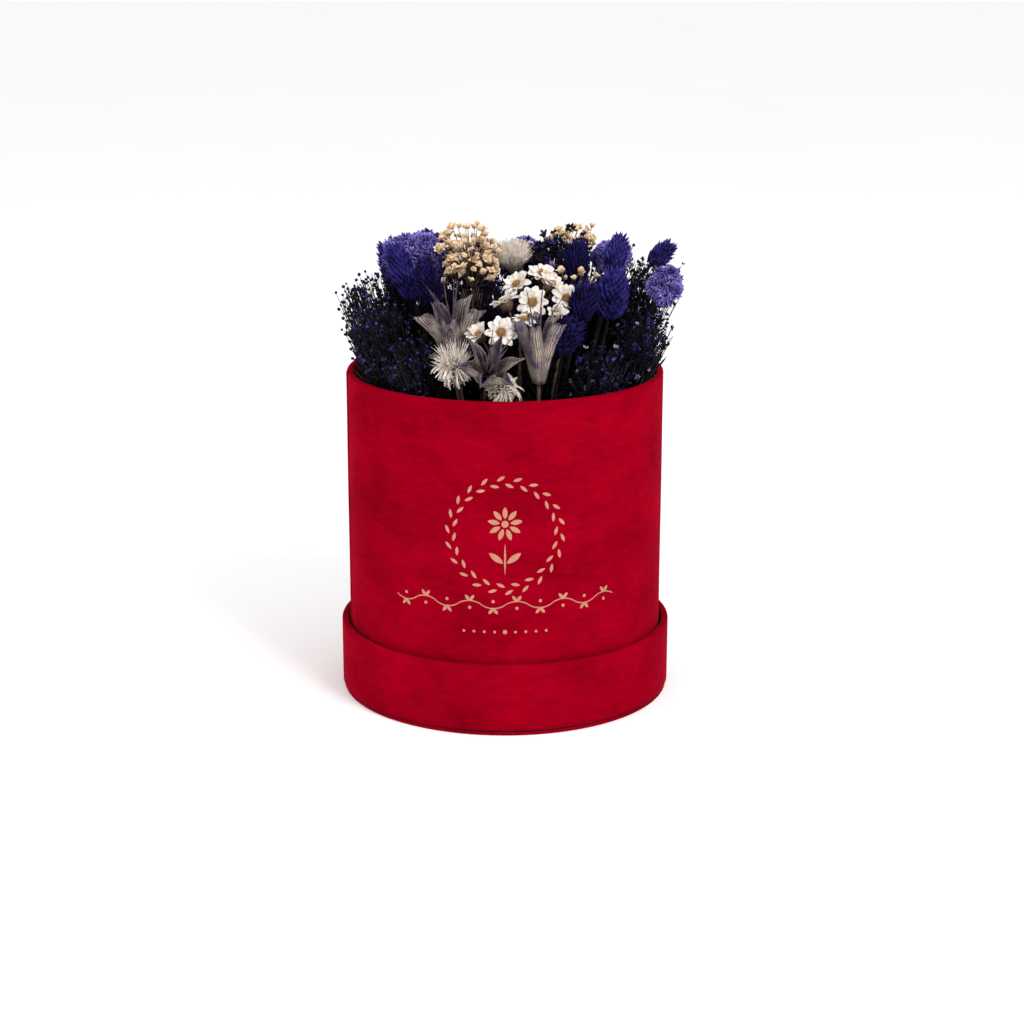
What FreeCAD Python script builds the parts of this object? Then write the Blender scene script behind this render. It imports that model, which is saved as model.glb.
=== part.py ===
import FreeCAD, Part
import math
import os

# A round velvet-covered flower box that stands in its own upturned lid and holds an
# arrangement of dried flowers in a block of dry floral foam.
# Millimetres. +Z is up. The origin is the middle of the lid's underside, so the lid
# rests on Z = 0, and the printed front of the box faces -Y.

Vector = FreeCAD.Vector

# ---------------------------------------------------------------- driving sizes: box and lid
box_radius = 75.0          # outside of the box, over its velvet
box_height = 154.0         # underside of the box to the top of its rim
box_wall_board = 2.0       # greyboard of the box's wall
box_floor_board = 2.0      # greyboard of the box's floor
velvet = 0.6               # velvet with its glue, on the box and the lid
lining = 0.3               # lining paper of the box and the lid
box_turn_in = 18.0         # velvet turned over the rim and glued down inside the box
rim_round = 1.2            # rounding of the velvet over a rim
lap_width = 11.0           # overlap where the ends of the velvet meet
lap_thickness = 0.4        # how far that overlap stands out
box_lap_bearing = 190.0    # degrees from +X to the open edge of the box's overlap

lid_collar_board = 2.0     # greyboard of the lid's collar
lid_top_board = 1.3        # greyboard of the lid's round top
lid_slack = 1.2            # gap between the box and the lid's collar, each side
lid_height = 34.1          # underside of the lid to the top of its collar
lid_turn_in = 12.0         # velvet turned over the collar's edge, inside
lid_top_inset = 0.7        # the round top ends this far inside the collar
lid_seam_gap = 0.5         # open joint between the collar's velvet and the round top
lid_lap_bearing = 75.0     # degrees from +X to the open edge of the collar's overlap

# ---------------------------------------------------------------- driving sizes: foil print
foil = 0.08                # thickness of the stamped foil
wreath_height = 94.7       # height of the wreath's middle over the table
wreath_radius = 25.0       # middle line of the ring of leaves
wreath_leaves = 44
vine_height = 62.0         # height of the leafy vine's middle line
vine_length = 108.0        # along the wall
vine_waves = 10
dots_height = 49.1         # height of the row of dots
dots_length = 38.0         # along the wall
dots_count = 9

# ---------------------------------------------------------------- driving sizes: foam and stems
foam_slack = 1.0           # gap between the foam and the lining
foam_recess = 25.0         # foam's top below the rim
stem_depth = 32.0          # how far the stems are pushed into the foam
keep_clear = 0.3           # gap left between a flower and those planted before it
rim_clear = 1.0            # gap left between a flower and the rim

# Flowers. A place is (bearing, reach, height): degrees from +X round the box, where the
# stem passes the rim as a share of the mouth's radius, and mm over the rim. The height is
# that of the head's middle, or of a spray's top. Every stem's line starts at the origin.
canary_grass = [
    # bearing, reach, height, length of the ear, radius of the ear
    (198, 0.53, 50, 34.0, 6.2),
    (215, 0.54, 33, 26.0, 5.8),
    (350, 0.37, 49, 27.0, 6.4),
    (336, 0.60, 40, 24.0, 7.2),
    (318, 0.56, 37, 20.0, 5.4),
    (301, 0.66, 26, 19.0, 6.4),
    (15, 0.57, 52, 22.0, 5.2),
    (6, 0.76, 52, 20.0, 5.4),
    (106, 0.48, 40, 28.0, 6.0),
    (147, 0.68, 42, 30.0, 6.2),
]
lilac_heads = [
    # bearing, reach, height, radius of the head, height of the head
    (174, 0.42, 53, 13.0, 19.0),
    (354, 0.57, 46, 8.0, 17.0),
    (353, 0.83, 41, 8.5, 17.0),
    (80, 0.56, 44, 12.0, 18.0),
]
nigella_pods = [
    # bearing, reach, height, radius of the open top, height of the pod
    (238, 0.55, 26, 11.5, 25.0),
    (262, 0.80, 16, 11.5, 19.0),
    (286, 0.75, 17, 8.0, 25.0),
    (128, 0.75, 27, 10.5, 24.0),
]
bristle_heads = [
    # bearing, reach, height, radius of the head, height of the head
    (60, 0.08, 51, 8.0, 15.0),
    (250, 0.83, 16, 7.0, 13.0),
    (271, 0.88, 8, 5.5, 9.0),
    (42, 0.73, 30, 8.0, 14.0),
]
tan_sprays = [
    # bearing, reach, height, radius near the top, height of the spray
    (220, 0.17, 70, 13.5, 38.0),
    (36, 0.37, 68, 10.0, 30.0),
    (322, 0.38, 47, 5.0, 12.0),
    (135, 0.43, 58, 11.0, 30.0),
]
daisies_front = [(268, 0.62, 28), (280, 0.56, 33), (256, 0.59, 26)]
daisies_middle = [(310, 0.28, 49), (288, 0.45, 39), (308, 0.50, 37), (270, 0.40, 39),
                  (306, 0.39, 44), (282, 0.28, 45), (298, 0.56, 28)]
daisies_back = [(74, 0.30, 53), (106, 0.30, 50), (109, 0.67, 36)]
daisy_radius = 7.6
daisy_height = 7.0
filler_sprays = [
    # bearing, reach, height, radius near the top, height of the bushy part
    (188, 0.78, 34, 12.5, 52.0),
    (208, 0.83, 28, 11.5, 46.0),
    (229, 0.86, 19, 9.5, 38.0),
    (168, 0.65, 45, 11.5, 60.0),
    (124, 0.80, 41, 12.0, 56.0),
    (97, 0.77, 38, 13.0, 54.0),
    (68, 0.79, 39, 13.0, 54.0),
    (34, 0.74, 43, 12.0, 58.0),
    (8, 0.81, 40, 10.5, 54.0),
    (340, 0.88, 26, 11.5, 46.0),
    (312, 0.87, 19, 10.0, 38.0),
    (146, 0.23, 50, 13.0, 60.0),
    (25, 0.20, 60, 11.0, 56.0),
    (318, 0.33, 30, 10.0, 40.0),
]

thick_stem = 1.1           # radius of the stems of the larger flowers
thin_stem = 0.7            # radius of the daisies' stems

# ---------------------------------------------------------------- worked out from them
lid_stack = velvet + lid_top_board + lining
box_bottom = lid_stack
rim_top = box_bottom + box_height
box_board_outer = box_radius - velvet
box_board_inner = box_board_outer - box_wall_board
box_inside = box_board_inner - velvet
box_floor_top = box_bottom + velvet + box_floor_board
foam_bottom = box_floor_top + lining
foam_top = rim_top - foam_recess
foam_radius = box_board_inner - lining - foam_slack
lid_inside = box_radius + lid_slack
lid_board_inner = lid_inside + velvet
lid_board_outer = lid_board_inner + lid_collar_board
lid_radius = lid_board_outer + velvet
lid_top_radius = lid_radius - lid_top_inset
lid_top_face = velvet + lid_top_board
stem_bottom = foam_top - stem_depth


def disc(radius, bottom, top):
    return Part.makeCylinder(radius, top - bottom, Vector(0, 0, bottom))


def ring(outer, inner, bottom, top):
    return disc(outer, bottom, top).cut(disc(inner, bottom, top))


def spin(edges):
    """Turn a closed outline in the XZ plane into a solid about the Z axis."""
    face = Part.Face(Part.Wire(edges))
    return face.revolve(Vector(0, 0, 0), Vector(0, 0, 1), 360)


def point(radius, height):
    return Vector(radius, 0, height)


def line(start, end):
    return Part.LineSegment(point(*start), point(*end)).toShape()


def arc(start, through, end):
    return Part.Arc(point(*start), point(*through), point(*end)).toShape()


def rim_cover(outer, inner, bottom, top, turn_in, rounding):
    """Velvet that covers a wall outside, folds over its edge and ends inside."""
    board_outer = outer - velvet
    board_inner = inner + velvet
    corner = rounding * (1 - math.sqrt(0.5))
    inner_end = top - turn_in
    board_top = top - velvet
    return spin([
        line((outer, bottom), (outer, top - rounding)),
        arc((outer, top - rounding), (outer - corner, top - corner), (outer - rounding, top)),
        line((outer - rounding, top), (inner + rounding, top)),
        arc((inner + rounding, top), (inner + corner, top - corner), (inner, top - rounding)),
        line((inner, top - rounding), (inner, inner_end)),
        line((inner, inner_end), (board_inner, inner_end)),
        line((board_inner, inner_end), (board_inner, board_top)),
        line((board_inner, board_top), (board_outer, board_top)),
        line((board_outer, board_top), (board_outer, bottom)),
        line((board_outer, bottom), (outer, bottom)),
    ])


def lap(radius, bottom, top, bearing):
    """The raised strip where one end of the velvet lies over the other."""
    width = math.degrees(lap_width / radius)
    outer = Part.makeCylinder(radius + lap_thickness, top - bottom, Vector(0, 0, bottom),
                              Vector(0, 0, 1), width)
    strip = outer.cut(disc(radius - velvet / 2, bottom, top))
    strip.rotate(Vector(0, 0, 0), Vector(0, 0, 1), bearing - width)
    return strip


# ---------------------------------------------------------------- lid
def make_lid():
    seam = lid_top_face + lid_seam_gap
    collar_velvet = rim_cover(lid_radius, lid_inside, seam, lid_height, lid_turn_in, rim_round)
    lap_top = lid_height - rim_round
    collar_velvet = collar_velvet.fuse(lap(lid_radius, seam, lap_top, lid_lap_bearing))
    top_velvet = disc(lid_top_radius, 0, lid_top_face)
    top_velvet = top_velvet.cut(disc(lid_top_radius - velvet, velvet, lid_top_face))
    turn_in_end = lid_height - lid_turn_in
    return {
        "lid_top_board": disc(lid_top_radius - velvet, velvet, lid_top_face),
        "lid_top_velvet": top_velvet,
        "lid_top_lining": disc(lid_board_inner - lining, lid_top_face, lid_stack),
        "lid_collar_board": ring(lid_board_outer, lid_board_inner, lid_top_face,
                                 lid_height - velvet),
        "lid_collar_velvet": collar_velvet,
        "lid_collar_lining": ring(lid_board_inner, lid_board_inner - lining, lid_top_face,
                                  turn_in_end),
    }


# ---------------------------------------------------------------- box and foam
def make_box():
    board_bottom = box_bottom + velvet
    wall_velvet = rim_cover(box_radius, box_inside, box_bottom, rim_top, box_turn_in, rim_round)
    lap_top = rim_top - rim_round
    wall_velvet = wall_velvet.fuse(lap(box_radius, box_bottom, lap_top, box_lap_bearing))
    return {
        "box_floor_velvet": disc(box_board_outer, box_bottom, board_bottom),
        "box_floor_board": disc(box_board_inner, board_bottom, box_floor_top),
        "box_floor_lining": disc(box_board_inner - lining, box_floor_top, foam_bottom),
        "box_wall_board": ring(box_board_outer, box_board_inner, board_bottom,
                               rim_top - velvet),
        "box_wall_velvet": wall_velvet,
        "box_wall_lining": ring(box_board_inner, box_board_inner - lining, box_floor_top,
                                rim_top - box_turn_in),
    }


# ---------------------------------------------------------------- foil print
def flat_line(start, end):
    return Part.LineSegment(Vector(start[0], 0, start[1]), Vector(end[0], 0, end[1])).toShape()


def flat_arc(start, through, end):
    points = [Vector(u, 0, v) for u, v in (start, through, end)]
    return Part.Arc(*points).toShape()


def leaf(length, width):
    """A pointed leaf that starts at the middle and points up."""
    tip = (0, length)
    right = flat_arc((0, 0), (width / 2, length / 2), tip)
    left = flat_arc(tip, (-width / 2, length / 2), (0, 0))
    return Part.Face(Part.Wire([right, left]))


def dot(radius):
    circle = Part.makeCircle(radius, Vector(0, 0, 0), Vector(0, 1, 0))
    return Part.Face(Part.Wire([circle]))


def wave(length, rise, width):
    """One arched half wave of the vine, its ends cut square."""
    half = length / 2
    side = width / 2
    outer = flat_arc((-half, side), (0, rise + side), (half, side))
    right = flat_line((half, side), (half, -side))
    inner = flat_arc((half, -side), (0, rise - side), (-half, -side))
    left = flat_line((-half, -side), (-half, side))
    return Part.Face(Part.Wire([outer, right, inner, left]))


def stamp(outline, across, up, tilt=0.0):
    """Press a flat outline onto the wall, `across` along it from the front."""
    shape = outline.copy()
    shape.rotate(Vector(0, 0, 0), Vector(0, 1, 0), tilt)
    shape.translate(Vector(0, -box_radius - foil, up))
    block = shape.extrude(Vector(0, box_radius, 0))
    skin = ring(box_radius + foil, box_radius, block.BoundBox.ZMin, block.BoundBox.ZMax)
    stamped = block.common(skin)
    stamped.rotate(Vector(0, 0, 0), Vector(0, 0, 1), math.degrees(across / box_radius))
    return stamped.Solids


def joined(plates):
    """One shape of the plates, with those that touch made into one."""
    return plates[0].fuse(plates[1:])


def make_wreath():
    """A ring of small leaves, each leaning out from the ring's line in turn."""
    plates = []
    leaf_length = 4.3
    leaf_width = 1.5
    leaf_stagger = 0.75
    lean = 24.0
    for index in range(wreath_leaves):
        turn = 360.0 * index / wreath_leaves
        side = 1 if index % 2 else -1
        radius = wreath_radius + leaf_stagger * side
        across = radius * math.sin(math.radians(turn))
        up = wreath_height + radius * math.cos(math.radians(turn))
        plates += stamp(leaf(leaf_length, leaf_width), across, up, turn + 90 - lean * side)
    return joined(plates)


def make_sprig():
    """A daisy on a short stalk with two leaves, in the middle of the wreath."""
    plates = []
    petals = 9
    petal_start = 2.4
    flower_height = wreath_height + 5.5
    stalk_top = flower_height - 9.0
    leaf_foot = flower_height - 18.5
    leaf_side = 0.9
    leaf_lean = 52.0
    for index in range(petals):
        turn = 360.0 * index / petals
        across = petal_start * math.sin(math.radians(turn))
        up = flower_height + petal_start * math.cos(math.radians(turn))
        plates += stamp(leaf(length=5.6, width=2.3), across, up, turn)
    plates += stamp(dot(radius=1.6), 0, flower_height)
    plates += stamp(leaf(length=15.0, width=0.9), 0, stalk_top, 180.0)
    for side in (-1, 1):
        small_leaf = leaf(length=8.0, width=2.8)
        plates += stamp(small_leaf, leaf_side * side, leaf_foot, leaf_lean * side)
    return joined(plates)


def make_vine():
    """A wavy stalk with a leaf at the top and the bottom of each wave."""
    plates = []
    step = vine_length / vine_waves
    rise = 1.7
    stalk_width = 0.55
    join = 0.1
    leaf_lean = 38.0
    berry_drop = 1.6
    for index in range(vine_waves):
        across = (index + 0.5) * step - vine_length / 2
        side = 1 if index % 2 else -1
        upright = 0.0 if side > 0 else 180.0
        arch = wave(step + join, rise, stalk_width)
        plates += stamp(arch, across, vine_height, upright)
        crest = vine_height + side * rise
        for lean in (-leaf_lean, leaf_lean):
            plates += stamp(leaf(length=3.4, width=1.5), across, crest, upright + lean)
        plates += stamp(dot(radius=0.75), across, vine_height - side * berry_drop)
    return joined(plates)


def make_dots():
    """A row of dots, the middle one larger."""
    plates = []
    step = dots_length / (dots_count - 1)
    large_dot = 1.0
    small_dot = 0.65
    for index in range(dots_count):
        across = index * step - dots_length / 2
        radius = large_dot if index == dots_count // 2 else small_dot
        plates += stamp(dot(radius), across, dots_height)
    return joined(plates)


# ---------------------------------------------------------------- flowers
def head_place(bearing, reach, height):
    """The point that a flower's place stands for, on its own line from the origin."""
    up = rim_top + height
    out = reach * box_inside * up / rim_top
    turn = math.radians(bearing)
    return Vector(out * math.cos(turn), out * math.sin(turn), up)


def flower(place, stem, outline, head_bottom, grow=0.0):
    """A stem and a head, made on the Z axis and leaned to point from the origin to place.

    outline(side, bottom, grow) gives the head's edges, from the stem's top to the axis.
    grow makes every part of it that much thicker.
    """
    foot = stem_bottom * place.Length / place.z
    side = stem + grow
    bottom = head_bottom - grow
    edges = [line((0, foot), (side, foot)), line((side, foot), (side, bottom))]
    edges += outline(side, bottom, grow)
    top = edges[-1].Vertexes[-1].Point.z
    edges.append(line((0, top), (0, foot)))
    solid = spin(edges)
    solid.Placement = FreeCAD.Placement(Vector(), FreeCAD.Rotation(Vector(0, 0, 1), place))
    return solid


def ear(length, radius):
    """A pointed oval, such as a canary grass ear."""
    tip = 0.8
    widest = 0.45

    def outline(side, bottom, grow):
        top = bottom + length + 2 * grow
        wide = bottom + widest * (top - bottom)
        return [arc((side, bottom), (radius + grow, wide), (tip, top)), line((tip, top), (0, top))]
    return outline


def dome(height, radius):
    """A round head over a cone, such as a lilac or a bristle head."""
    tip = 1.0
    cone_share = 0.4
    bulge = (0.82, 0.78)

    def outline(side, bottom, grow):
        reach = radius + grow
        shoulder = bottom + cone_share * height
        top = bottom + height + 2 * grow
        middle = (bulge[0] * reach, bottom + bulge[1] * (top - bottom))
        return [line((side, bottom), (reach, shoulder)), arc((reach, shoulder), middle, (tip, top)),
                line((tip, top), (0, top))]
    return outline


def cup(height, radius):
    """A pod with a belly and a neck that opens to a wide flat top."""
    belly_share, belly_level = 0.62, 0.3
    neck_share, neck_level = 0.55, 0.62

    def outline(side, bottom, grow):
        belly = belly_share * radius + grow
        neck = neck_share * radius + grow
        belly_height = bottom + belly_level * height
        neck_height = bottom + neck_level * height
        top = bottom + height + 2 * grow
        return [line((side, bottom), (belly, belly_height)),
                line((belly, belly_height), (neck, neck_height)),
                line((neck, neck_height), (radius + grow, top)),
                line((radius + grow, top), (0, top))]
    return outline


def plate(height, radius):
    """An open daisy: a cup of scales under a flat ring of petals and a domed middle."""
    cup_share = 0.55
    petal_share = 0.2
    middle_share = 0.35

    def outline(side, bottom, grow):
        under = bottom + cup_share * height
        petals = under + petal_share * height + grow
        top = bottom + height + 2 * grow
        middle = middle_share * radius + grow
        return [line((side, bottom), (radius + grow, under)),
                line((radius + grow, under), (radius + grow, petals)),
                line((radius + grow, petals), (middle, top)),
                line((middle, top), (0, top))]
    return outline


def bush(height, radius):
    """A spray that widens upwards and ends in a rounded top."""
    tip = 1.5
    cone_share = 0.72
    bulge = (0.8, 0.08)

    def outline(side, bottom, grow):
        reach = radius + grow
        top = bottom + height + 2 * grow
        shoulder = bottom + cone_share * height
        middle = (bulge[0] * reach, top - bulge[1] * height)
        return [line((side, bottom), (reach, shoulder)), arc((reach, shoulder), middle, (tip, top)),
                line((tip, top), (0, top))]
    return outline


def planted_flowers():
    """Every flower in the order of planting, as name: [(place, stem, outline, bottom), ...]."""
    planted = {}

    def plant(name, place, stem, outline, below):
        """Plant a flower whose head starts the distance below its place."""
        spot = head_place(*place)
        planted.setdefault(name, []).append((spot, stem, outline, spot.Length - below))

    for index, (*place, length, radius) in enumerate(canary_grass, 1):
        plant(f"canary_grass_{index}", place, thick_stem, ear(length, radius), length / 2)
    heads = [("lilac_head", lilac_heads, dome), ("nigella_pod", nigella_pods, cup),
             ("bristle_head", bristle_heads, dome)]
    for kind, rows, form in heads:
        for index, (*place, radius, height) in enumerate(rows, 1):
            plant(f"{kind}_{index}", place, thick_stem, form(height, radius), height / 2)
    for index, (*place, radius, height) in enumerate(tan_sprays, 1):
        plant(f"tan_spray_{index}", place, thick_stem, bush(height, radius), height)
    bunches = [("daisies_front", daisies_front), ("daisies_middle", daisies_middle),
               ("daisies_back", daisies_back)]
    for name, places in bunches:
        for place in places:
            plant(name, place, thin_stem, plate(daisy_height, daisy_radius), daisy_height / 2)
    for index, (*place, radius, height) in enumerate(filler_sprays, 1):
        plant(f"filler_spray_{index}", place, thick_stem, bush(height, radius), height)
    return planted


def make_flowers():
    """All the flowers, each trimmed where the rim or a flower planted before it stands."""
    mouth_bottom = rim_top - box_turn_in - lining
    guards = [ring(box_radius + rim_clear, box_inside - rim_clear, mouth_bottom,
                   rim_top + rim_clear)]
    solids = {}
    for name, rows in planted_flowers().items():
        heads = []
        for row in rows:
            head = flower(*row)
            near = [guard for guard in guards if guard.BoundBox.intersect(head.BoundBox)]
            left = head.cut(near).Solids
            heads.append(max(left, key=lambda solid: solid.Volume))
            guards.append(flower(*row, grow=keep_clear))
        solids[name] = Part.makeCompound(heads) if len(heads) > 1 else heads[0]
    return solids


def make_foam(flowers):
    foam = disc(foam_radius, foam_bottom, foam_top)
    stems = [solid for shape in flowers.values() for solid in shape.Solids]
    return foam.cut(stems)


def main():
    os.makedirs("parts", exist_ok=True)
    parts = {}
    parts.update(make_lid())
    parts.update(make_box())
    parts["foil_wreath"] = make_wreath()
    parts["foil_sprig"] = make_sprig()
    parts["foil_vine"] = make_vine()
    parts["foil_dots"] = make_dots()
    flowers = make_flowers()
    parts["foam_block"] = make_foam(flowers)
    parts.update(flowers)
    for name, shape in parts.items():
        shape.exportStep(f"parts/{name}.step")
        print(f"{name}: solids {len(shape.Solids)}, volume {shape.Volume:.1f}, "
              f"valid {shape.isValid()}")


main()
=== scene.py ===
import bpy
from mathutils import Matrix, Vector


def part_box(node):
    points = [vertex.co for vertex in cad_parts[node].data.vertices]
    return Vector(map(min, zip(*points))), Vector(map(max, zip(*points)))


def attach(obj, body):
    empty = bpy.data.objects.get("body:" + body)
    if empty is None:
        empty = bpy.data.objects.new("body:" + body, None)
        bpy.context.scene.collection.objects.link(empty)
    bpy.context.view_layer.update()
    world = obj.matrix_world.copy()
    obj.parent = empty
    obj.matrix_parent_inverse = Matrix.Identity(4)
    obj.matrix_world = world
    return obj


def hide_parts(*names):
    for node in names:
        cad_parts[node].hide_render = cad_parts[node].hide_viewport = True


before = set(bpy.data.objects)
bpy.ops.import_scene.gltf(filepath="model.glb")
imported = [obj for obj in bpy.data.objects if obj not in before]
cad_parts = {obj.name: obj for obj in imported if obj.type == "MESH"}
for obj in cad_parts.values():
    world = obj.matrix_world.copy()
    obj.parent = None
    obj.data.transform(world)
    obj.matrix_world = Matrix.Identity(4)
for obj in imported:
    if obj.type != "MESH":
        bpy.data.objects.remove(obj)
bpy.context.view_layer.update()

import math
import random

import bmesh
import bpy
from mathutils import Matrix, Vector, noise
from mathutils.geometry import interpolate_bezier

# ---- Studio -------------------------------------------------------------------------------
# A white floor that runs into a white background, two large soft boxes and a long lens that
# looks down a little at the printed front.
MM = 0.001
camera_distance = 1.0478
camera_height = 0.3825
camera_pitch = math.radians(15.87)
lens_mm = 79.28
frame_shift = 0.0068

camera_data = bpy.data.cameras.new("studio_camera")
camera_data.lens = lens_mm
camera_data.shift_x = frame_shift
camera_data.clip_end = 20
camera = bpy.data.objects.new("studio_camera", camera_data)
camera.location = (0, -camera_distance, camera_height)
camera.rotation_euler = (math.pi / 2 - camera_pitch, 0, 0)
bpy.context.collection.objects.link(camera)
scene = bpy.context.scene
scene.camera = camera
scene.view_settings.view_transform = "Standard"
scene.view_settings.look = "None"

world = bpy.data.worlds.new("studio_white")
world.use_nodes = True
world.node_tree.nodes["Background"].inputs["Color"].default_value = (1, 1, 1, 1)
world.node_tree.nodes["Background"].inputs["Strength"].default_value = 1.0
scene.world = world


def soft_box(name, place, size, watts, target=(0, 0, 0.12)):
    """A square area light that points at the flower box."""
    data = bpy.data.lights.new(name, "AREA")
    data.size = size
    data.energy = watts
    light = bpy.data.objects.new(name, data)
    light.location = place
    aim = Vector(target) - Vector(place)
    light.rotation_euler = aim.to_track_quat("-Z", "Y").to_euler()
    bpy.context.collection.objects.link(light)


soft_box("key_light", (0.7, -0.9, 1.1), 0.5, 14)
soft_box("fill_light", (-1.0, -0.6, 0.5), 0.7, 4)


def new_material(name, roughness, specular=0.5):
    """A material and its nodes, links and Principled shader."""
    material = bpy.data.materials.new(name)
    material.use_nodes = True
    tree = material.node_tree
    shader = tree.nodes["Principled BSDF"]
    shader.inputs["Roughness"].default_value = roughness
    shader.inputs["Specular IOR Level"].default_value = specular
    return material, tree, shader


def feed(tree, socket, value):
    """Give a socket a value of its own, or link it to another socket."""
    if isinstance(value, bpy.types.NodeSocket):
        tree.links.new(value, socket)
    elif socket.type == "RGBA":
        socket.default_value = (*value, 1)
    else:
        socket.default_value = value


def tinted(tree, mask, dark, light):
    """A colour that runs from dark to light as the mask goes from 0 to 1."""
    mix = tree.nodes.new("ShaderNodeMix")
    mix.data_type = "RGBA"
    feed(tree, mix.inputs["Factor"], mask)
    feed(tree, mix.inputs["A"], dark)
    feed(tree, mix.inputs["B"], light)
    return mix.outputs["Result"]


floor_bm = bmesh.new()
bmesh.ops.create_grid(floor_bm, x_segments=2, y_segments=2, size=6)
floor_mesh = bpy.data.meshes.new("studio_floor")
floor_bm.to_mesh(floor_mesh)
floor_bm.free()
floor = bpy.data.objects.new("studio_floor", floor_mesh)
bpy.context.collection.objects.link(floor)
floor_material, floor_tree, floor_shader = new_material("floor_paper", 0.9, 0.0)
floor_noise = floor_tree.nodes.new("ShaderNodeTexNoise")
floor_noise.inputs["Scale"].default_value = 40
floor_tint = tinted(floor_tree, floor_noise.outputs["Fac"], (0.93, 0.93, 0.93), (0.96, 0.96, 0.96))
floor_tree.links.new(floor_tint, floor_shader.inputs["Base Color"])
floor_mesh.materials.append(floor_material)


# ---- Boards and lining paper --------------------------------------------------------------
# Walls, floor and lid are cut from grey bookbinder's board, with a cream paper glued over the
# inside. They are hidden by the velvet except where the lid and the box come apart.
def coordinates(tree):
    """The coordinates that a pattern is laid out on."""
    return tree.nodes.new("ShaderNodeTexCoord").outputs["Object"]


def fine_noise(tree, scale, detail=4, stretch=(1, 1, 1)):
    """Noise over the surface, from 0 to 1; scale is in features per metre."""
    mapping = tree.nodes.new("ShaderNodeMapping")
    mapping.inputs["Scale"].default_value = stretch
    tree.links.new(coordinates(tree), mapping.inputs["Vector"])
    texture = tree.nodes.new("ShaderNodeTexNoise")
    feed(tree, texture.inputs["Scale"], scale)
    texture.inputs["Detail"].default_value = detail
    tree.links.new(mapping.outputs["Vector"], texture.inputs["Vector"])
    return texture.outputs["Fac"]


def contrast(tree, value, low, high):
    """The value stretched so that low becomes 0 and high becomes 1."""
    ramp = tree.nodes.new("ShaderNodeMapRange")
    ramp.inputs["From Min"].default_value = low
    ramp.inputs["From Max"].default_value = high
    tree.links.new(value, ramp.inputs["Value"])
    return ramp.outputs["Result"]


def roughen(tree, shader, height, distance, strength=1.0):
    """A bump on the shader from a height pattern; distance is its depth in metres."""
    bump = tree.nodes.new("ShaderNodeBump")
    bump.inputs["Distance"].default_value = distance
    bump.inputs["Strength"].default_value = strength
    tree.links.new(height, bump.inputs["Height"])
    tree.links.new(bump.outputs["Normal"], shader.inputs["Normal"])


def new_group(name, *colours):
    """A shader node group with those colours and a scale; it gives a colour and a pattern."""
    group = bpy.data.node_groups.new(name, "ShaderNodeTree")
    for colour in colours:
        group.interface.new_socket(colour, in_out="INPUT", socket_type="NodeSocketColor")
    group.interface.new_socket("Scale", in_out="INPUT", socket_type="NodeSocketFloat")
    group.interface.new_socket("Colour", in_out="OUTPUT", socket_type="NodeSocketColor")
    group.interface.new_socket("Pattern", in_out="OUTPUT", socket_type="NodeSocketFloat")
    given = group.nodes.new("NodeGroupInput").outputs
    made = group.nodes.new("NodeGroupOutput").inputs
    return group, given, made


def placed(tree, group, **values):
    """The outputs of a node group in a material, with that material's own values."""
    node = tree.nodes.new("ShaderNodeGroup")
    node.node_tree = group
    for name, value in values.items():
        feed(tree, node.inputs[name], value)
    return node.outputs


pressed_fibres, given, made = new_group("pressed_fibres", "Dark", "Light")
fibres = contrast(pressed_fibres, fine_noise(pressed_fibres, given["Scale"], 6), 0.35, 0.65)
fibre_tint = tinted(pressed_fibres, fibres, given["Dark"], given["Light"])
pressed_fibres.links.new(fibre_tint, made["Colour"])
pressed_fibres.links.new(fibres, made["Pattern"])


def board_material(name, dark, light, scale):
    """Board or paper: a flat colour broken by fibres, with a slightly uneven face."""
    material, tree, shader = new_material(name, 0.85, 0.2)
    face = placed(tree, pressed_fibres, Dark=dark, Light=light, Scale=scale)
    tree.links.new(face["Colour"], shader.inputs["Base Color"])
    roughen(tree, shader, face["Pattern"], 0.05 * MM)
    return material


board_dark = (0.22, 0.2, 0.17)
board_light = (0.34, 0.31, 0.27)
greyboard = board_material("greyboard", board_dark, board_light, 900)
lining_paper = board_material("lining_paper", (0.62, 0.57, 0.48), (0.7, 0.66, 0.57), 1400)


def finish_node(node, material):
    """Give a CAD part its material."""
    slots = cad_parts[node].material_slots
    for material_slot in slots:
        material_slot.material = material


for board in ("lid_top_board", "box_floor_board", "box_wall_board"):
    finish_node(board, greyboard)
for paper in ("lid_top_lining", "lid_collar_lining", "box_floor_lining", "box_wall_lining"):
    finish_node(paper, lining_paper)


# ---- Velvet -------------------------------------------------------------------------------
# Red velvet is glued to the board in one strip round the wall and one round the collar, its
# ends lapped and its free edge folded in over the rim. A disc of it covers each flat end.
velvet_thickness = 0.6 * MM
rim_round = 1.3 * MM            # rounding of the velvet over a rim
edge_round = 0.5 * MM           # rounding of its cut edges
box_turn_in = 18 * MM           # how far it is folded in over the rim
collar_turn_in = 12 * MM
lap_width = math.radians(8.4)   # overlap of its two ends, round the wall
lap_rise = 0.45 * MM            # how far the overlap stands out
unevenness = 0.12 * MM          # of the board under it
around = 240                    # faces round a wall


def weighted(tree, value, weight, rest):
    """The value times its weight, added to the rest."""
    node = tree.nodes.new("ShaderNodeMath")
    node.operation = "MULTIPLY_ADD"
    for socket, item in zip(node.inputs, (value, weight, rest)):
        feed(tree, socket, item)
    return node.outputs[0]


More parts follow.
